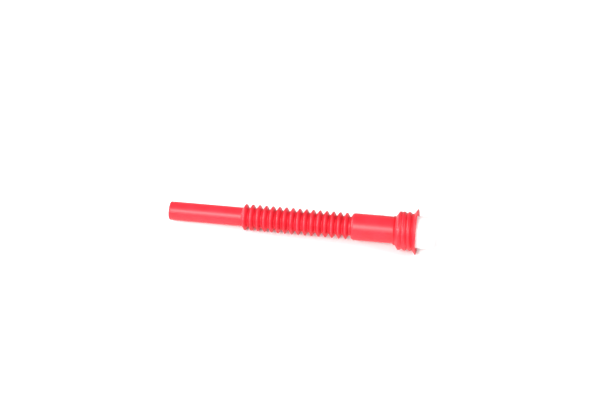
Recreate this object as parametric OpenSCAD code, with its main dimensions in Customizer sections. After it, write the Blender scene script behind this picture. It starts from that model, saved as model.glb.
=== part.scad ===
// Flexible pouring spout of a jerry can, with the stopper of its mouth.
// The spout lies along X: its nozzle points to -X and its mouth opens to +X.
// The origin is the centre of the mouth's rim. +Z is up.

/* [Nozzle] */
// Outside diameter of the nozzle tube
nozzle_d = 20; // [18:0.5:21]
// Length of the straight nozzle tube
nozzle_l = 77.2; // [40:0.1:120]
// Wall of the nozzle tube
nozzle_wall = 1.5; // [1.2:0.1:2]
// Rounding of the nozzle's outer end edge
nozzle_edge = 0.6; // [0.2:0.1:0.9]

/* [Bellows] */
// Number of crests
crest_n = 16; // [6:1:16]
// Distance from one crest to the next
crest_pitch = 7.2; // [7:0.1:8]
// Outside diameter over the crests
crest_d = 28; // [27:0.5:29]
// Rounding of a crest's outside
crest_round = 1.1; // [0.8:0.1:1.2]
// Rounding of a valley's bottom
valley_round = 0.7; // [0.5:0.1:0.8]
// Wall of the bellows
bellows_wall = 1.1; // [0.9:0.1:1.2]

/* [Sleeve] */
// Outside diameter of the plain sleeve
sleeve_d = 28.4; // [27:0.1:29]
// Length from the sleeve's round shoulder to the neck
sleeve_l = 42.1; // [30:0.1:60]
// Rounding of the shoulder that meets the bellows
sleeve_shoulder = 4; // [3.5:0.1:4.2]
// Wall of the sleeve
sleeve_wall = 1.5; // [1.3:0.1:2]

/* [Neck] */
// Outside diameter of the neck, at the bottom of the thread
neck_d = 37.6; // [37:0.1:38]
// Outside diameter of the raised land between the sleeve and the thread
land_d = 40.4; // [39.6:0.1:41]
// Inside diameter of the neck, which the stopper fits
neck_bore = 33.8; // [33.4:0.1:34]
// Length of the neck, from the sleeve to the mouth's flare
neck_l = 18.5; // [18.2:0.1:22]

/* [Thread] */
// Outside diameter over the thread
thread_d = 40.8; // [40:0.1:41.4]
// Distance that one turn of the thread travels
thread_pitch = 5.5; // [5.2:0.1:5.7]
// Turns of the thread
thread_turns = 2.3; // [1.5:0.1:2.3]

/* [Mouth] */
// Outside diameter of the mouth's flared rim
rim_d = 48; // [46:0.5:49]
// Width of the rim's flat face
rim_face = 1.5; // [1.3:0.1:1.7]

/* [Stopper] */
// Outside diameter of the stopper
stopper_d = 33.6; // [33.2:0.1:33.6]
// Length of the stopper that stands out of the mouth
stopper_out = 17.5; // [8:0.5:30]
// Length of the stopper inside the neck
stopper_in = 14; // [8:0.5:14]
// Wall of the stopper
stopper_wall = 1.6; // [1.2:0.1:2.4]

/* [Hidden] */
red = "#e8404f";
white = "#f4f4f0";

// Facets of a full turn, enough to be a true circle
round_fn = 96;
// Steps of a rounded edge
arc_steps = 6;
// Steps of the thread in one turn
thread_steps = 36;

root_r = nozzle_d / 2;
crest_r = crest_d / 2;
sleeve_r = sleeve_d / 2;
neck_r = neck_d / 2;
land_r = land_d / 2;
bore_r = neck_bore / 2;
rim_r = rim_d / 2;
stopper_r = stopper_d / 2;

// Roundings and slopes of the neck and the mouth
neck_slope = 58;
neck_fillet = 1.5;
neck_corner = 1.6;
// The land is this wide before it slopes down to the neck
land_l = 1.2;
land_slope = 38;
flare_slope = 54;
flare_fillet = 1.4;
lip_edge = 0.4;
// Face of the lip's outer edge, along X
lip_l = 0.8;
flare_l = lip_l + (rim_r - neck_r) / tan(flare_slope);
stopper_edge = 1.2;
stopper_lead = 0.8;

// Places along X, from the mouth back to the nozzle's end
flare_x = -flare_l;
sleeve_end_x = flare_x - neck_l;
shoulder_x = sleeve_end_x - sleeve_l;
// Where the shoulder's round outside meets the last valley's hollow
meet_run = sqrt(pow(sleeve_shoulder + valley_round, 2) - pow(valley_round, 2));
meet_angle = atan2(valley_round, meet_run);
valley_flat = 0.95;
last_valley_x = shoulder_x - meet_run - valley_flat;
first_valley_x = last_valley_x - crest_n * crest_pitch;
// A crest's ring and a valley's web each take half a pitch
half = crest_pitch / 4;
nozzle_end_x = first_valley_x - half;
tip_x = nozzle_end_x - nozzle_l;
neck_x = sleeve_end_x - neck_fillet * tan(neck_slope / 2);
flare_start_x = flare_x - flare_fillet * tan(flare_slope / 2);

// Slope of a convolution's straight flank, tangent to both of its roundings
round_sum = crest_round + valley_round;
flank_rise = crest_r - root_r - round_sum;
flank_slope = atan2(flank_rise, crest_pitch / 2) + asin(round_sum / norm([flank_rise, crest_pitch / 2]));

// The thread's first low point under the neck, its sunk base and its faded ends
thread_low_x = -16.8;
thread_start_x = -17.9;
thread_sink = 0.5;
thread_base = 5;
thread_top = 1.3;
thread_fade = 0.16;

function two_digits(k) = str(k < 10 ? "0" : "", k);
function crest_name(k) = str("bellows_crest_", two_digits(k));
function root_name(k) = str("bellows_root_", two_digits(k));
function valley_x(k) = first_valley_x + (k - 1) * crest_pitch;
function crest_x(k) = valley_x(k) + crest_pitch / 2;

// Outlines are lists of [x, r] points. An arc runs about [x, r] from one angle to another
function arc(x, r, rad, from, to, steps = arc_steps) =
    [for (i = [0:steps]) let (a = from + (to - from) * i / steps) [x + rad * cos(a), r + rad * sin(a)]];
function reversed(points) = [for (i = [len(points) - 1:-1:0]) points[i]];
function mirrored(points) = [for (p = reversed(points)) [-p[0], p[1]]];

// Radius of a flank at a distance from its crest, and of the inside of its wall
function flank_r(d) = crest_r - crest_round + crest_round / cos(flank_slope) - d * tan(flank_slope);
function flank_inside_r(d) = flank_r(d) - bellows_wall / cos(flank_slope);
top_inside_r = crest_r - bellows_wall;
top_inside_d = half * (flank_inside_r(0) - top_inside_r) / (flank_inside_r(0) - flank_inside_r(half));

// Half of a valley, from its bottom to the middle of the flank, and the inside of its wall
valley_rise = concat(
    arc(0, root_r + valley_round, valley_round, -90, flank_slope - 90),
    [[half, flank_r(half)]]
);
valley_inside = concat(
    arc(0, root_r + valley_round, valley_round + bellows_wall, -90, flank_slope - 90),
    [[half, flank_inside_r(half)]]
);

// The shoulder's round outside starts on the last web and goes on along the sleeve
shoulder_low_r = sleeve_r - sleeve_shoulder;
split_angle = acos((last_valley_x + half - shoulder_x) / sleeve_shoulder);
split_inside_r = root_r - bellows_wall;

// Turns an outline about the X axis
module revolve(points) {
    rotate([0, 90, 0]) rotate_extrude($fn = round_fn) polygon([for (p = points) [p[1], p[0]]]);
}

module nozzle_tube() {
    tube_bore_r = root_r - nozzle_wall;
    web_bore_r = root_r - bellows_wall;
    color(red) revolve(concat(
        [[tip_x, tube_bore_r]],
        arc(tip_x + nozzle_edge, root_r - nozzle_edge, nozzle_edge, 180, 90),
        [
            [nozzle_end_x, root_r],
            [nozzle_end_x, web_bore_r],
            [nozzle_end_x - nozzle_wall, tube_bore_r]
        ]
    ));
}

module bellows_crest(k) {
    top = arc(0, crest_r - crest_round, crest_round, 90 + flank_slope, 90 - flank_slope, 2 * arc_steps);
    color(red) translate([crest_x(k), 0, 0]) revolve(concat(
        [[-half, flank_r(half)]],
        top,
        [
            [half, flank_r(half)],
            [half, flank_inside_r(half)],
            [top_inside_d, top_inside_r],
            [-top_inside_d, top_inside_r],
            [-half, flank_inside_r(half)]
        ]
    ));
}

module bellows_root(k) {
    first = k == 1;
    last = k == crest_n + 1;
    // The last web runs on into the sleeve's shoulder, the first into the nozzle
    left_outside = first ? [[-half, root_r], [0, root_r]] : mirrored(valley_rise);
    left_inside = first ? [[-half, split_inside_r], [0, split_inside_r]] : mirrored(valley_inside);
    right_outside = last
        ? concat(
            arc(valley_flat, root_r + valley_round, valley_round, -90, -meet_angle),
            arc(shoulder_x - last_valley_x, shoulder_low_r, sleeve_shoulder, 180 - meet_angle, split_angle)
        )
        : valley_rise;
    right_inside = last ? [[half, split_inside_r]] : valley_inside;
    color(red) translate([valley_x(k), 0, 0]) revolve(concat(
        left_outside, right_outside, reversed(concat(left_inside, right_inside))
    ));
}

module sleeve() {
    inside_shoulder = sleeve_shoulder - sleeve_wall;
    color(red) revolve(concat(
        arc(shoulder_x, shoulder_low_r, sleeve_shoulder, split_angle, 90, 2 * arc_steps),
        [[neck_x, sleeve_r], [neck_x, sleeve_r - sleeve_wall]],
        arc(shoulder_x, shoulder_low_r, inside_shoulder, 90, 180),
        [[shoulder_x - inside_shoulder, split_inside_r], [last_valley_x + half, split_inside_r]]
    ));
}

module threaded_neck() {
    corner_x = sleeve_end_x + (land_r - sleeve_r) / tan(neck_slope) + neck_corner * tan(neck_slope / 2);
    inside_x = corner_x + (bore_r - neck_r) / tan(neck_slope);
    land_end_x = corner_x + land_l;
    color(red) revolve(concat(
        arc(neck_x, sleeve_r + neck_fillet, neck_fillet, -90, neck_slope - 90),
        arc(corner_x, land_r - neck_corner, neck_corner, 90 + neck_slope, 90),
        [
            [land_end_x, land_r],
            [land_end_x + (land_r - neck_r) / tan(land_slope), neck_r],
            [flare_start_x, neck_r],
            [flare_start_x, bore_r],
            [inside_x, bore_r],
            [inside_x - (bore_r - sleeve_r + sleeve_wall) / tan(neck_slope), sleeve_r - sleeve_wall],
            [neck_x, sleeve_r - sleeve_wall]
        ]
    ));
}

// The thread's ridge is a band swept along a right-handed helix, sunk at its ends
module neck_thread() {
    base_r = neck_r - thread_sink;
    rings = ceil(thread_turns * thread_steps);
    sides = 6;
    points = [for (i = [0:rings])
        let (
            turn = thread_turns * i / rings,
            x = thread_start_x + turn * thread_pitch,
            a = 360 * (x - thread_low_x) / thread_pitch - 90,
            end = min(turn, thread_turns - turn) / thread_fade,
            rise = (thread_d / 2 - base_r) * (0.15 + 0.85 * min(1, end)),
            section = [
                [-thread_base / 2, 0], [-thread_top * 0.75, rise * 0.88], [-thread_top * 0.25, rise],
                [thread_top * 0.25, rise], [thread_top * 0.75, rise * 0.88], [thread_base / 2, 0]
            ]
        )
        for (s = section) [x + s[0], (base_r + s[1]) * cos(a), (base_r + s[1]) * sin(a)]];
    walls = [for (i = [0:rings - 1]) for (j = [0:sides - 1])
        let (n = (j + 1) % sides)
        [i * sides + j, i * sides + n, (i + 1) * sides + n, (i + 1) * sides + j]];
    first_end = [for (j = [sides - 1:-1:0]) j];
    last_end = [for (j = [0:sides - 1]) rings * sides + j];
    color(red) polyhedron(points, concat(walls, [first_end, last_end]));
}

module mouth_flange() {
    lip_x = -lip_l;
    color(red) revolve(concat(
        arc(flare_start_x, neck_r + flare_fillet, flare_fillet, -90, flare_slope - 90),
        [[lip_x, rim_r]],
        arc(-lip_edge, rim_r - lip_edge, lip_edge, 90, 0),
        [
            [0, rim_r - rim_face],
            [(bore_r - rim_r + rim_face) / tan(flare_slope), bore_r],
            [flare_start_x, bore_r]
        ]
    ));
}

module stopper() {
    hollow_r = stopper_r - stopper_wall;
    color(white) revolve(concat(
        [[-stopper_in, hollow_r], [-stopper_in, stopper_r - stopper_lead]],
        [[stopper_lead - stopper_in, stopper_r]],
        arc(stopper_out - stopper_edge, stopper_r - stopper_edge, stopper_edge, 90, 0),
        [[stopper_out, 0], [stopper_out - stopper_wall, 0], [stopper_out - stopper_wall, hollow_r]]
    ));
}

nozzle_tube();
for (k = [1:crest_n]) bellows_crest(k);
for (k = [1:crest_n + 1]) bellows_root(k);
sleeve();
threaded_neck();
neck_thread();
mouth_flange();
stopper();
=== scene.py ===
"""The red flexible pouring spout of a jerry can, with the white stopper in its mouth."""
import math

import bpy
from mathutils import Matrix, Vector


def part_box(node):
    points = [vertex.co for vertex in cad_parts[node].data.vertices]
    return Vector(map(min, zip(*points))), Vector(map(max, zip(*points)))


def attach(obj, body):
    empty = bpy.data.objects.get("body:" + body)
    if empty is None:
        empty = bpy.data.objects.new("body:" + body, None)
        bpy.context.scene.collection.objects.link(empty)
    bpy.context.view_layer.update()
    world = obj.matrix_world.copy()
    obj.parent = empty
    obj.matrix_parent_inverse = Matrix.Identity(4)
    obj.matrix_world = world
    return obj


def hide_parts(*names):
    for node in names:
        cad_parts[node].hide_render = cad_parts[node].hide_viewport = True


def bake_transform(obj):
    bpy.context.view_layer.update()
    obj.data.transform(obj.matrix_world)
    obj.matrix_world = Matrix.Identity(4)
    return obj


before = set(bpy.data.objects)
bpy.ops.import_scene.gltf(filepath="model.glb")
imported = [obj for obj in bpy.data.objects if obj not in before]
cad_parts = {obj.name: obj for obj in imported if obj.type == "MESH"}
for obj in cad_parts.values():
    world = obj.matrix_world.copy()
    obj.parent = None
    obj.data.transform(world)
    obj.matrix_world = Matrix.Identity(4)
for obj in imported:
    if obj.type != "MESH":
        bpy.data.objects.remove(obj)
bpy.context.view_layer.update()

# ---------------------------------------------------------------- sizes, in millimetres

MM = 0.001

# Wall thicknesses
NOZZLE_WALL = 1.5
BELLOWS_WALL = 1.0
SLEEVE_WALL = 1.5

# Roundings
TIP_OUTER_EDGE = 0.8
TIP_INNER_EDGE = 0.35
CREST_ROUND = 1.1
VALLEY_ROUND = 0.7
SHOULDER_ROUND = 4.0
NECK_FILLET = 1.5
NECK_CORNER = 1.6
FLARE_FILLET = 1.4
LIP_OUTER_EDGE = 0.4
LIP_INNER_EDGE = 0.3

# Slopes in degrees from the axis
NECK_SLOPE = 58
FLARE_SLOPE = 54
LAND_SLOPE = 38

NECK_RADIUS = 18.8
# The raised land between the sleeve and the thread
LAND_RADIUS = 20.2
LAND_LENGTH = 1.2
LAND_ROUND = 1.0
NECK_BORE = 16.9
RIM_FACE = 1.5
LIP_LENGTH = 0.8
VALLEY_FLAT = 0.95

# Thread
THREAD_PITCH = 5.5
THREAD_LOW_X = -16.8
THREAD_START_X = -18.2
THREAD_END_X = -5.0
THREAD_HAND = 1
THREAD_HALF_WIDTH = 2.6
THREAD_FADE = 1.3
THREAD_BLEND = 0.5

# Stopper
STOPPER_WALL = 1.6
STOPPER_EDGE = 1.2
STOPPER_LEAD = 0.8
DISH_RADIUS = 11.5
DISH_DEPTH = 0.5
GATE_RADIUS = 1.1
GATE_HEIGHT = 0.35

# Sides of a full turn, and the spacing of rows on plain, curved and ridged walls
FINE_SIDES = 192
SIDES = 144
LONG_ROW = 6.0
WALL_ROW = 4.0
FOLD_ROW = 0.4
THREAD_ROW = 0.22
# Edges sharper than this many degrees are drawn as edges
SHARP_ANGLE = 38

# Where the parting line runs, in degrees about the axis from straight up, and half its width
PARTING_TURN = -62
PARTING_HALF_WIDTH = 0.22

# ---------------------------------------------------------------- the view and the light

# Angles in degrees from straight ahead, over the table, and about the line of sight
CAMERA_AZIMUTH = 9.79
CAMERA_ELEVATION = 38.19
CAMERA_ROLL = 1.16
# Metres, and the lens in millimetres
CAMERA_DISTANCE = 1.347
CAMERA_LENS = 76.8
# What the camera looks at, in millimetres
CAMERA_AIM = (-125.4, 11.84, 19.82)

# The surroundings' brightness, level with the table and overhead
HORIZON_STRENGTH = 0.65
ZENITH_STRENGTH = 0.75
TABLE_HALF_SIZE = 6.0
SOFTBOX_DISTANCE = 1.4
# Each softbox: name, azimuth, elevation, (width, height) in metres, power in watts
SOFTBOXES = [
    ("key_softbox", -18, 40, (0.8, 0.42), 23),
    ("low_softbox", -5, 25, (0.6, 0.45), 2),
    ("left_softbox", -92, 13, (0.9, 0.7), 31),
    ("right_softbox", 80, 30, (0.9, 0.9), 12),
]


def low_high(node):
    """The lowest and highest corners of a CAD node, in millimetres."""
    low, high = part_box(node)
    return low / MM, high / MM


def middle_x(node):
    low, high = low_high(node)
    return (low.x + high.x) / 2


def outer_radius(node):
    low, high = low_high(node)
    return (high.z - low.z) / 2


CREST_COUNT = sum(name.startswith("bellows_crest_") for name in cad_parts)


def crest_node(k):
    return f"bellows_crest_{k:02d}"


def root_node(k):
    return f"bellows_root_{k:02d}"


CREST_X = {k: middle_x(crest_node(k)) for k in range(1, CREST_COUNT + 1)}
VALLEY_X = {k: middle_x(root_node(k)) for k in range(1, CREST_COUNT + 2)}
NOZZLE_RADIUS = outer_radius("nozzle_tube")
CREST_RADIUS = outer_radius(crest_node(1))
SLEEVE_RADIUS = outer_radius("sleeve")
THREAD_RADIUS = outer_radius("neck_thread")
RIM_RADIUS = outer_radius("mouth_flange")
STOPPER_RADIUS = outer_radius("stopper")
TIP_X = low_high("nozzle_tube")[0].x
NOZZLE_END_X = low_high("nozzle_tube")[1].x
NECK_X = low_high("threaded_neck")[0].x
STOPPER_LOW_X = low_high("stopper")[0].x
STOPPER_HIGH_X = low_high("stopper")[1].x
PITCH = CREST_X[2] - CREST_X[1]
SLEEVE_CUT_X = NECK_X - 0.5

# ---------------------------------------------------------------- node trees


class Wire:
    """One output of a node, which can be used in sums."""

    def __init__(self, tree, socket):
        self.tree = tree
        self.socket = socket

    def _sum(self, operation, first, second):
        return self.tree.maths(operation, first, second)

    def __add__(self, other):
        return self._sum("ADD", self, other)

    def __radd__(self, other):
        return self._sum("ADD", other, self)

    def __sub__(self, other):
        return self._sum("SUBTRACT", self, other)

    def __rsub__(self, other):
        return self._sum("SUBTRACT", other, self)

    def __mul__(self, other):
        return self._sum("MULTIPLY", self, other)

    def __rmul__(self, other):
        return self._sum("MULTIPLY", other, self)

    def __truediv__(self, other):
        return self._sum("DIVIDE", self, other)

    def __rtruediv__(self, other):
        return self._sum("DIVIDE", other, self)

    def __pow__(self, other):
        return self._sum("POWER", self, other)


class Tree:
    """A node tree under construction: one method adds every kind of node."""

    def __init__(self, nodes):
        self.nodes = nodes

    def node(self, kind, settings=None, sockets=None, output=0):
        made = self.nodes.nodes.new(kind)
        for name, value in (settings or {}).items():
            if name == "stops":
                self.set_stops(made.color_ramp, value)
            else:
                setattr(made, name, value)
        for key, value in (sockets or {}).items():
            if isinstance(value, Wire):
                self.nodes.links.new(value.socket, made.inputs[key])
            else:
                made.inputs[key].default_value = value
        return Wire(self, made.outputs[output]) if len(made.outputs) else made

    @staticmethod
    def set_stops(ramp, stops):
        while len(ramp.elements) < len(stops):
            ramp.elements.new(0.5)
        for element, (place, colour) in zip(ramp.elements, stops):
            element.position = place
            element.color = colour

    def maths(self, operation, *values, clamp=False):
        return self.node(
            "ShaderNodeMath",
            {"operation": operation, "use_clamp": clamp},
            dict(enumerate(values)),
        )

    def clamped(self, value):
        return self.maths("ADD", value, 0.0, clamp=True)

    def smooth(self, value):
        """A value from 0 to 1, eased at both ends."""
        t = self.clamped(value)
        return t * t * (3.0 - 2.0 * t)

    def parts(self, vector):
        """The three numbers of a vector."""
        return [
            self.node("ShaderNodeSeparateXYZ", sockets={0: vector}, output=i)
            for i in range(3)
        ]

    def joined(self, x, y, z):
        return self.node("ShaderNodeCombineXYZ", sockets={0: x, 1: y, 2: z})


# ---------------------------------------------------------------- outlines
# An outline is a closed list of (x, radius, outside) points, where outside marks the outer skin


def arc(x, radius, size, start, end, steps):
    """Points round (x, radius), from one angle to another in degrees."""
    points = []
    for i in range(steps + 1):
        angle = math.radians(start + (end - start) * i / steps)
        points.append((x + size * math.cos(angle), radius + size * math.sin(angle)))
    return points


def stretch(start, end, step):
    """Evenly spaced points on a line, without its last point."""
    count = max(1, math.ceil(math.dist(start, end) / step))
    return [
        tuple(a + (b - a) * i / count for a, b in zip(start, end)) for i in range(count)
    ]


def closed(outside, inside):
    """Joins an outer line and an inner one, both from low x to high x, into one closed outline."""
    return [(x, r, 1.0) for x, r in outside] + [(x, r, 0.0) for x, r in reversed(inside)]


def flank_angle():
    """Steepness of a flank that is tangent to the crest's and the valley's roundings."""
    rounds = CREST_ROUND + VALLEY_ROUND
    rise = CREST_RADIUS - NOZZLE_RADIUS - rounds
    run = PITCH / 2
    return math.atan2(rise, run) + math.asin(rounds / math.hypot(rise, run))


def fold_line(crest_size, valley_size):
    """Half a fold from crest to valley, as (distance from the crest, radius) points."""
    steep = flank_angle()
    turns = [0.0, 0.02, 0.08, 0.2, 0.35, 0.5, 0.65, 0.8, 0.92, 1.0]
    crest_centre = CREST_RADIUS - CREST_ROUND
    valley_centre = NOZZLE_RADIUS + VALLEY_ROUND
    crest = [
        (crest_size * math.sin(steep * t), crest_centre + crest_size * math.cos(steep * t))
        for t in turns
    ]
    valley = [
        (PITCH / 2 - valley_size * math.sin(steep * t), valley_centre - valley_size * math.cos(steep * t))
        for t in reversed(turns)
    ]
    return crest + stretch(crest[-1], valley[0], FOLD_ROW)[1:] + valley


def fold_outline(crest_x, valley_x):
    """The closed outline of half a fold of the bellows."""
    side = 1 if valley_x > crest_x else -1
    outside = [(crest_x + side * d, r) for d, r in fold_line(CREST_ROUND, VALLEY_ROUND)]
    inside = [
        (crest_x + side * d, r)
        for d, r in fold_line(CREST_ROUND - BELLOWS_WALL, VALLEY_ROUND + BELLOWS_WALL)
    ]
    if side < 0:
        outside.reverse()
        inside.reverse()
    return closed(outside, inside)


def nozzle_outline():
    bore = NOZZLE_RADIUS - NOZZLE_WALL
    web_bore = NOZZLE_RADIUS - BELLOWS_WALL
    end_x = VALLEY_X[1]
    edge = TIP_OUTER_EDGE
    outside = arc(TIP_X + edge, NOZZLE_RADIUS - edge, edge, 180, 90, 8)
    outside += stretch(outside[-1], (NOZZLE_END_X - 2, NOZZLE_RADIUS), LONG_ROW)[1:]
    outside += stretch((NOZZLE_END_X - 2, NOZZLE_RADIUS), (end_x, NOZZLE_RADIUS), FOLD_ROW)
    outside.append((end_x, NOZZLE_RADIUS))
    edge = TIP_INNER_EDGE
    inside = arc(TIP_X + edge, bore + edge, edge, 180, 270, 5)
    inside += stretch(inside[-1], (NOZZLE_END_X - 2, bore), LONG_ROW)[1:]
    inside += stretch((NOZZLE_END_X - 2, bore), (NOZZLE_END_X, web_bore), FOLD_ROW)
    inside += stretch((NOZZLE_END_X, web_bore), (end_x, web_bore), FOLD_ROW)
    inside.append((end_x, web_bore))
    return closed(outside, inside)


def sleeve_outline():
    start_x = VALLEY_X[CREST_COUNT + 1]
    low_r = SLEEVE_RADIUS - SHOULDER_ROUND
    reach = math.sqrt((SHOULDER_ROUND + VALLEY_ROUND) ** 2 - VALLEY_ROUND**2)
    top_x = start_x + VALLEY_FLAT + reach
    meet = math.degrees(math.atan2(VALLEY_ROUND, reach))
    outside = stretch((start_x, NOZZLE_RADIUS), (top_x - reach, NOZZLE_RADIUS), 0.3)
    outside += arc(top_x - reach, NOZZLE_RADIUS + VALLEY_ROUND, VALLEY_ROUND, -90, -meet, 10)
    outside += arc(top_x, low_r, SHOULDER_ROUND, 180 - meet, 90, 24)[1:]
    outside += stretch(outside[-1], (SLEEVE_CUT_X, SLEEVE_RADIUS), WALL_ROW)[1:]
    outside.append((SLEEVE_CUT_X, SLEEVE_RADIUS))
    web_bore = NOZZLE_RADIUS - BELLOWS_WALL
    inner_round = SHOULDER_ROUND - SLEEVE_WALL
    inside = stretch((start_x, web_bore), (top_x - inner_round, web_bore), FOLD_ROW)
    inside.append((top_x - inner_round, web_bore))
    inside += arc(top_x, low_r, inner_round, 180, 90, 10)
    inside.append((SLEEVE_CUT_X, SLEEVE_RADIUS - SLEEVE_WALL))
    return closed(outside, inside)


def neck_outline():
    """The neck and the mouth's flare, without the thread's ridge."""
    steep = math.radians(NECK_SLOPE)
    flare = math.radians(FLARE_SLOPE)
    rim_low = -LIP_LENGTH
    flare_x = rim_low - (RIM_RADIUS - NECK_RADIUS) / math.tan(flare)
    fillet_x = NECK_X
    cone_x = fillet_x + NECK_FILLET * math.tan(steep / 2)
    corner_x = (
        cone_x
        + (LAND_RADIUS - SLEEVE_RADIUS) / math.tan(steep)
        + NECK_CORNER * math.tan(steep / 2)
    )
    flare_start = flare_x - FLARE_FILLET * math.tan(flare / 2)
    outside = [(SLEEVE_CUT_X, SLEEVE_RADIUS)]
    outside += arc(fillet_x, SLEEVE_RADIUS + NECK_FILLET, NECK_FILLET, -90, NECK_SLOPE - 90, 10)
    corner = arc(corner_x, LAND_RADIUS - NECK_CORNER, NECK_CORNER, 90 + NECK_SLOPE, 90, 14)
    outside += stretch(outside[-1], corner[0], THREAD_ROW)[1:] + corner
    # The land's far edge, rounded, and its slope down to the bottom of the thread
    down = math.radians(LAND_SLOPE)
    edge_x = corner_x + LAND_LENGTH - LAND_ROUND * math.tan(down / 2)
    edge = arc(edge_x, LAND_RADIUS - LAND_ROUND, LAND_ROUND, 90, 90 - LAND_SLOPE, 6)
    foot_x = corner_x + LAND_LENGTH + (LAND_RADIUS - NECK_RADIUS) / math.tan(down)
    foot_x += LAND_ROUND * math.tan(down / 2)
    foot = arc(foot_x, NECK_RADIUS + LAND_ROUND, LAND_ROUND, 270 - LAND_SLOPE, 270, 6)
    outside += stretch(corner[-1], edge[0], THREAD_ROW)[1:] + edge
    outside += stretch(edge[-1], foot[0], THREAD_ROW)[1:] + foot
    outside += stretch(foot[-1], (flare_start, NECK_RADIUS), THREAD_ROW)[1:]
    outside += arc(flare_start, NECK_RADIUS + FLARE_FILLET, FLARE_FILLET, -90, FLARE_SLOPE - 90, 8)
    outside += stretch(outside[-1], (rim_low, RIM_RADIUS), THREAD_ROW)[1:]
    outside += arc(-LIP_LENGTH + 0.2, RIM_RADIUS - 0.2, 0.2, 90 + FLARE_SLOPE / 2, 90, 3)
    outside += arc(-LIP_OUTER_EDGE, RIM_RADIUS - LIP_OUTER_EDGE, LIP_OUTER_EDGE, 90, 0, 7)
    bore_x = (NECK_BORE - RIM_RADIUS + RIM_FACE) / math.tan(flare)
    inner_corner_x = corner_x + (NECK_BORE - NECK_RADIUS) / math.tan(steep)
    inner_bore = SLEEVE_RADIUS - SLEEVE_WALL
    inside = [
        (SLEEVE_CUT_X, inner_bore),
        (inner_corner_x - (NECK_BORE - inner_bore) / math.tan(steep), inner_bore),
        (inner_corner_x, NECK_BORE),
        (bore_x, NECK_BORE),
    ]
    inside += stretch(inside[-1], (-LIP_INNER_EDGE, RIM_RADIUS - RIM_FACE), 1.0)[1:]
    inside += arc(-LIP_INNER_EDGE, RIM_RADIUS - RIM_FACE + LIP_INNER_EDGE, LIP_INNER_EDGE, -45, 0, 4)
    return closed(outside, inside)


def stopper_outline():
    hollow = STOPPER_RADIUS - STOPPER_WALL
    face = STOPPER_HIGH_X
    outside = [(STOPPER_LOW_X, STOPPER_RADIUS - STOPPER_LEAD)]
    outside += arc(
        STOPPER_LOW_X + STOPPER_LEAD, STOPPER_RADIUS - STOPPER_LEAD, STOPPER_LEAD, 180, 90, 6
    )[1:]
    outside += stretch(outside[-1], (face - STOPPER_EDGE, STOPPER_RADIUS), 3.0)[1:]
    outside += arc(face - STOPPER_EDGE, STOPPER_RADIUS - STOPPER_EDGE, STOPPER_EDGE, 90, 0, 8)
    dish = face - DISH_DEPTH
    outside += [(face, DISH_RADIUS + 0.5)]
    outside += arc(face - 0.25, DISH_RADIUS + 0.25, 0.25, 45, 0, 2)
    outside += [(dish, DISH_RADIUS), (dish, GATE_RADIUS)]
    outside += [(dish + GATE_HEIGHT, GATE_RADIUS * 0.8), (dish + GATE_HEIGHT, 0.0)]
    inside = [
        (STOPPER_LOW_X, hollow + 0.3),
        (STOPPER_LOW_X + 0.3, hollow),
        (face - STOPPER_WALL - 1.0, hollow),
    ]
    inside += arc(face - STOPPER_WALL - 1.0, hollow - 1.0, 1.0, 90, 0, 5)[1:]
    inside += [(face - STOPPER_WALL, 0.0)]
    return closed(outside, inside)


# ---------------------------------------------------------------- turned walls


def tree_input(tree, name, kind, value):
    made = tree.interface.new_socket(name, in_out="INPUT", socket_type=kind)
    if value is not None:
        made.default_value = value


def ridge_radius(t, give, x, radius, turn):
    """The wall's radius with the thread's ridge on it."""
    pitch = give["Thread Pitch"]
    risen = give["Thread Hand"] * pitch * (turn + math.pi / 2) / (2 * math.pi)
    along = x - give["Thread Low X"] - risen
    off = t.maths("WRAP", along, pitch / 2, pitch * -0.5)
    centre = x - off
    fade = give["Thread Fade"]
    whole = t.smooth((centre - give["Thread Start X"]) / fade) * t.smooth(
        (give["Thread End X"] - centre) / fade
    )
    height = give["Thread Radius"] - give["Neck Radius"]
    drop = height * (off / give["Thread Half Width"]) ** 2
    ridge = give["Thread Radius"] - drop - (1.0 - whole) * height * 3.0
    return t.maths("SMOOTH_MAX", radius, ridge, give["Thread Blend"])


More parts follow.
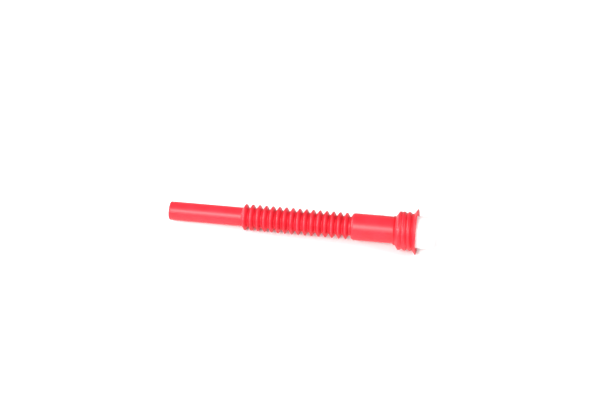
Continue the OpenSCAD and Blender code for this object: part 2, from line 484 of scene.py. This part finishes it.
def turned_wall_tree(name, threaded):
    """Turns an outline about the X axis. The outline's points lie at (x, 0, radius)."""
    tree = bpy.data.node_groups.new(name, "GeometryNodeTree")
    tree.interface.new_socket("Geometry", in_out="OUTPUT", socket_type="NodeSocketGeometry")
    tree_input(tree, "Outline", "NodeSocketGeometry", None)
    tree_input(tree, "Sides", "NodeSocketInt", SIDES)
    tree_input(tree, "Sharp Angle", "NodeSocketFloat", math.radians(SHARP_ANGLE))
    tree_input(tree, "Material", "NodeSocketMaterial", None)
    thread_names = (
        "Thread Pitch", "Thread Low X", "Thread Hand", "Thread Start X", "Thread End X",
        "Thread Fade", "Thread Radius", "Neck Radius", "Thread Half Width", "Thread Blend",
    )
    if threaded:
        for thread_name in thread_names:
            tree_input(tree, thread_name, "NodeSocketFloat", 0.0)
    t = Tree(tree)
    entry = t.node("NodeGroupInput").socket.node
    give = {s.name: Wire(t, s) for s in entry.outputs if s.name}
    outline = give["Outline"]
    points = t.node("GeometryNodeAttributeDomainSize", {"component": "MESH"}, {0: outline})
    columns = give["Sides"] + 1.0
    grid = t.node(
        "GeometryNodeMeshGrid", sockets={"Vertices X": points + 1.0, "Vertices Y": columns}
    )
    index = t.node("GeometryNodeInputIndex")
    row = t.maths("FLOOR", (index + 0.5) / columns)
    column = index - row * columns
    picked = t.maths("MODULO", row, points)
    place = t.node("GeometryNodeInputPosition")
    sample = t.node(
        "GeometryNodeSampleIndex",
        {"data_type": "FLOAT_VECTOR", "domain": "POINT"},
        {"Geometry": outline, "Value": place, "Index": picked},
    )
    x, side, radius = t.parts(sample)
    turn = column * (2 * math.pi) / give["Sides"]
    if threaded:
        skin = ridge_radius(t, give, x, radius, turn)
        # The outline's second coordinate marks the outer skin
        radius = radius + (skin - radius) * t.clamped(side)
    ring = t.joined(x, radius * t.maths("COSINE", turn), radius * t.maths("SINE", turn))
    turned = t.node("GeometryNodeSetPosition", sockets={"Geometry": grid, "Position": ring})
    merged = t.node(
        "GeometryNodeMergeByDistance", sockets={"Geometry": turned, "Distance": 2e-6}
    )
    shaded = t.node(
        "GeometryNodeSetShadeSmooth", {"domain": "FACE"}, {"Geometry": merged, "Shade Smooth": True}
    )
    bend = t.node("GeometryNodeInputMeshEdgeAngle")
    sharp = t.maths("GREATER_THAN", bend, give["Sharp Angle"])
    edged = t.node(
        "GeometryNodeSetShadeSmooth",
        {"domain": "EDGE"},
        {"Geometry": shaded, "Selection": sharp, "Shade Smooth": False},
    )
    kept = t.node(
        "GeometryNodeStoreNamedAttribute",
        {"data_type": "FLOAT_VECTOR", "domain": "POINT"},
        {"Geometry": edged, "Name": "moulded_place", "Value": place},
    )
    real = t.node("GeometryNodeRealizeInstances", sockets={0: kept})
    painted = t.node(
        "GeometryNodeSetMaterial", sockets={"Geometry": real, "Material": give["Material"]}
    )
    t.node("NodeGroupOutput", sockets={0: painted})
    return tree


def outline_mesh(name, outline):
    mesh = bpy.data.meshes.new(name)
    points = [(x * MM, mark, r * MM) for x, r, mark in outline]
    edges = [(i, (i + 1) % len(points)) for i in range(len(points))]
    mesh.from_pydata(points, edges, [])
    return mesh


def turned_piece(name, outline, tree, material, sides=SIDES, **inputs):
    """A plain mesh made from an outline by one of the trees."""
    source = bpy.data.objects.new(name + "_outline", outline_mesh(name + "_outline", outline))
    bpy.context.scene.collection.objects.link(source)
    modifier = source.modifiers.new("turned", "NODES")
    modifier.node_group = tree
    values = {"Sides": sides, "Material": material}
    values.update(inputs)
    for item in tree.interface.items_tree:
        if item.in_out == "INPUT" and item.name in values:
            modifier[item.identifier] = values[item.name]
    bpy.context.view_layer.update()
    graph = bpy.context.evaluated_depsgraph_get()
    mesh = bpy.data.meshes.new_from_object(
        source.evaluated_get(graph), preserve_all_data_layers=True, depsgraph=graph
    )
    source.modifiers.remove(modifier)
    bpy.data.objects.remove(source)
    mesh.name = name
    piece = bpy.data.objects.new(name, mesh)
    bpy.context.scene.collection.objects.link(piece)
    if not mesh.materials:
        mesh.materials.append(material)
    return piece


# ---------------------------------------------------------------- materials


def new_material(name):
    material = bpy.data.materials.new(name)
    material.use_nodes = True
    for node in list(material.node_tree.nodes):
        material.node_tree.nodes.remove(node)
    return material, Tree(material.node_tree)


def mixed(t, share, first, second):
    """A colour between two others."""
    return t.node("ShaderNodeMix", {"data_type": "RGBA"}, {0: share, 6: first, 7: second}, output=2)


def red_polyethylene():
    """Soft blow-moulded polyethylene: satin gloss, a pebbled skin, draw lines and a parting line."""
    material, t = new_material("red_polyethylene")
    place = t.node("ShaderNodeAttribute", {"attribute_name": "moulded_place"}, output=1)
    x, y, z = t.parts(place)
    turn = t.maths("ARCTAN2", y, z)
    radius = t.maths("SQRT", y * y + z * z)

    def grain(scale, detail, roughness, where):
        return t.node(
            "ShaderNodeTexNoise",
            sockets={"Vector": where, "Scale": scale, "Detail": detail, "Roughness": roughness},
        )

    cloud = grain(55.0, 3.0, 0.55, place)
    pebble = grain(1100.0, 2.0, 0.5, place)
    fine = grain(5200.0, 2.0, 0.6, place)
    round_it = [t.maths(name, turn) * 42.0 for name in ("SINE", "COSINE")]
    drawn = grain(1.0, 3.0, 0.6, t.joined(x * 18.0, *round_it))
    # The mould's two halves meet on a line along each side
    off_line = t.maths("ABSOLUTE", t.maths("SINE", turn - math.radians(PARTING_TURN))) * radius
    parting = 1.0 - t.smooth(off_line / (PARTING_HALF_WIDTH * MM))
    # Edges that touch things are a little paler and duller
    rub = t.smooth((radius - (CREST_RADIUS - 0.45) * MM) / (0.45 * MM)) * (
        1.0 - t.smooth((radius - (CREST_RADIUS + 0.2) * MM) / (0.2 * MM))
    )
    past_first = t.smooth((x - VALLEY_X[1] * MM) / 0.002)
    before_last = t.smooth((VALLEY_X[CREST_COUNT + 1] * MM - x) / 0.002)
    in_folds = past_first * before_last
    worn = rub * in_folds * t.smooth((cloud - 0.42) * 4.0)
    scored = grain(1.0, 1.0, 0.4, t.joined(x * 60.0, turn * 160.0, 0.0))
    scratch = t.smooth((scored - 0.69) * 14.0)

    deep = (0.56, 0.008, 0.018, 1.0)
    bright = (0.64, 0.0125, 0.027, 1.0)
    pale = (0.68, 0.075, 0.095, 1.0)
    colour = mixed(t, t.smooth((cloud - 0.3) * 2.5), deep, bright)
    colour = mixed(t, worn * 0.30 + parting * 0.16 + scratch * 0.06, colour, pale)
    rough = 0.41 + (cloud - 0.5) * 0.10 + (fine - 0.5) * 0.06 + worn * 0.08 + scratch * 0.10
    height = (
        pebble * 0.000016
        + fine * 0.000003
        + drawn * 0.000020
        + parting * 0.00006
        - scratch * 0.000008
    )
    bump = t.node("ShaderNodeBump", sockets={"Strength": 1.0, "Distance": 1.0, "Height": height})
    shader = t.node(
        "ShaderNodeBsdfPrincipled",
        sockets={
            "Base Color": colour,
            "Roughness": t.clamped(rough),
            "Normal": bump,
            "IOR": 1.50,
            "Specular IOR Level": 0.42,
        },
    )
    t.node("ShaderNodeOutputMaterial", sockets={"Surface": shader})
    return material


def white_polyethylene():
    """Injection-moulded white polyethylene, slightly milky, with a fine satin skin."""
    material, t = new_material("white_polyethylene")
    place = t.node("ShaderNodeTexCoord", output=3)
    x, y, z = t.parts(place)
    radius = t.maths("SQRT", y * y + z * z)
    cloud = t.node("ShaderNodeTexNoise", sockets={"Vector": place, "Scale": 70.0, "Detail": 3.0})
    pebble = t.node("ShaderNodeTexNoise", sockets={"Vector": place, "Scale": 1500.0, "Detail": 2.0})
    turned = t.maths("SINE", radius * 9000.0) * t.smooth((x - (STOPPER_HIGH_X - 1.0) * MM) / 0.0005)
    colour = mixed(t, cloud, (0.86, 0.86, 0.84, 1.0), (0.93, 0.93, 0.92, 1.0))
    rough = 0.38 + (cloud - 0.5) * 0.12 + (pebble - 0.5) * 0.05
    height = pebble * 0.000012 + turned * 0.0000015
    bump = t.node("ShaderNodeBump", sockets={"Strength": 1.0, "Distance": 1.0, "Height": height})
    shader = t.node(
        "ShaderNodeBsdfPrincipled",
        sockets={
            "Base Color": colour,
            "Roughness": t.clamped(rough),
            "Normal": bump,
            "IOR": 1.50,
            "Subsurface Weight": 0.35,
            "Subsurface Radius": (0.004, 0.004, 0.0035),
            "Subsurface Scale": 1.0,
        },
    )
    t.node("ShaderNodeOutputMaterial", sockets={"Surface": shader})
    return material


def table_white():
    material, t = new_material("table_white")
    place = t.node("ShaderNodeTexCoord", output=3)
    cloud = t.node("ShaderNodeTexNoise", sockets={"Vector": place, "Scale": 3.0, "Detail": 2.0})
    colour = mixed(t, cloud, (0.90, 0.90, 0.90, 1.0), (0.92, 0.92, 0.92, 1.0))
    shader = t.node("ShaderNodeBsdfPrincipled", sockets={"Base Color": colour, "Roughness": 0.6})
    t.node("ShaderNodeOutputMaterial", sockets={"Surface": shader})
    return material


# ---------------------------------------------------------------- the spout

plain_wall = turned_wall_tree("turned_wall", threaded=False)
threaded_wall = turned_wall_tree("threaded_wall", threaded=True)
red = red_polyethylene()
white = white_polyethylene()


def bent(piece):
    """Bakes the piece's placement into its mesh, which stays fixed."""
    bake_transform(piece)
    return piece


nozzle = turned_piece("nozzle", nozzle_outline(), plain_wall, red)
bent(nozzle)
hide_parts("nozzle_tube", root_node(1))

for k in range(1, CREST_COUNT + 1):
    for side, valley in (("left", k), ("right", k + 1)):
        fold = turned_piece(
            f"fold_{k:02d}_{side}", fold_outline(CREST_X[k], VALLEY_X[valley]), plain_wall, red
        )
        bent(fold)
        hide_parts(crest_node(k), root_node(valley))

sleeve = turned_piece("sleeve_wall", sleeve_outline(), plain_wall, red)
bent(sleeve)
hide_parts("sleeve")

neck = turned_piece(
    "neck_and_mouth",
    neck_outline(),
    threaded_wall,
    red,
    FINE_SIDES,
    **{
        "Thread Pitch": THREAD_PITCH * MM,
        "Thread Low X": THREAD_LOW_X * MM,
        "Thread Hand": float(THREAD_HAND),
        "Thread Start X": THREAD_START_X * MM,
        "Thread End X": THREAD_END_X * MM,
        "Thread Fade": THREAD_FADE * MM,
        "Thread Radius": THREAD_RADIUS * MM,
        "Neck Radius": NECK_RADIUS * MM,
        "Thread Half Width": THREAD_HALF_WIDTH * MM,
        "Thread Blend": THREAD_BLEND * MM,
    },
)
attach(neck, "spout_base")
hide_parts("threaded_neck", "neck_thread", "mouth_flange")

stopper = turned_piece("stopper_plug", stopper_outline(), plain_wall, white)
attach(stopper, "stopper")
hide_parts("stopper")

# ---------------------------------------------------------------- the table, the light and the camera

# The spout lies on its rim and on its nozzle's end, so the table is tilted in the spout's own frame
TABLE_TILT = math.atan((RIM_RADIUS - NOZZLE_RADIUS) / -(TIP_X + TIP_OUTER_EDGE))
table_frame = Matrix.Rotation(TABLE_TILT, 4, "Y")


def in_table_frame(azimuth, elevation):
    """A direction from the spout, by its azimuth from straight ahead and its height over the table."""
    a, e = math.radians(azimuth), math.radians(elevation)
    level = Vector((math.sin(a) * math.cos(e), -math.cos(a) * math.cos(e), math.sin(e)))
    return (table_frame @ level.to_4d()).to_3d()


def add_table():
    up = in_table_frame(0, 90)
    touch = Vector((-LIP_OUTER_EDGE * MM, 0, -RIM_RADIUS * MM))
    middle = Vector((TIP_X / 2 * MM, 0, 0))
    middle -= up * (middle - touch).dot(up)
    half = TABLE_HALF_SIZE
    mesh = bpy.data.meshes.new("table")
    corners = [(-half, -half), (half, -half), (half, half), (-half, half)]
    across, along = Vector((0, 1, 0)), Vector((0, 1, 0)).cross(up)
    mesh.from_pydata([middle + along * a + across * b for a, b in corners], [], [(0, 1, 2, 3)])
    mesh.materials.append(table_white())
    table = bpy.data.objects.new("table", mesh)
    bpy.context.scene.collection.objects.link(table)


def add_softbox(name, azimuth, elevation, size, power):
    light = bpy.data.lights.new(name, "AREA")
    light.shape = "RECTANGLE"
    light.size, light.size_y = size
    light.energy = power
    lamp = bpy.data.objects.new(name, light)
    bpy.context.scene.collection.objects.link(lamp)
    back = in_table_frame(azimuth, elevation)
    middle = Vector((TIP_X / 2 * MM, 0, 0))
    lamp.location = middle + back * SOFTBOX_DISTANCE
    lamp.rotation_euler = back.to_track_quat("Z", "Y").to_euler()


def add_world():
    world = bpy.data.worlds.new("studio")
    bpy.context.scene.world = world
    world.use_nodes = True
    world.node_tree.nodes.clear()
    t = Tree(world.node_tree)
    direction = t.node("ShaderNodeTexCoord")
    height = t.parts(direction)[2]
    strength = HORIZON_STRENGTH + t.smooth(height) * (ZENITH_STRENGTH - HORIZON_STRENGTH)
    background = t.node("ShaderNodeBackground", sockets={"Strength": strength})
    t.node("ShaderNodeOutputWorld", sockets={"Surface": background})


def add_camera():
    camera = bpy.data.cameras.new("camera")
    camera.sensor_width = 36.0
    camera.lens = CAMERA_LENS
    eye = bpy.data.objects.new("camera", camera)
    bpy.context.scene.collection.objects.link(eye)
    back = in_table_frame(CAMERA_AZIMUTH, CAMERA_ELEVATION)
    up = in_table_frame(0, 90)
    right = up.cross(back).normalized()
    right = Matrix.Rotation(math.radians(CAMERA_ROLL), 3, back) @ right
    lift = back.cross(right)
    aim = Vector(tuple(v * MM for v in CAMERA_AIM))
    eye.matrix_world = Matrix(
        [
            (right.x, lift.x, back.x, aim.x + back.x * CAMERA_DISTANCE),
            (right.y, lift.y, back.y, aim.y + back.y * CAMERA_DISTANCE),
            (right.z, lift.z, back.z, aim.z + back.z * CAMERA_DISTANCE),
            (0, 0, 0, 1),
        ]
    )
    camera.clip_start, camera.clip_end = 0.05, 50.0
    bpy.context.scene.camera = eye


add_table()
for name, azimuth, elevation, size, power in SOFTBOXES:
    add_softbox(name, azimuth, elevation, size, power)
add_world()
add_camera()
bpy.context.scene.view_settings.view_transform = "Standard"
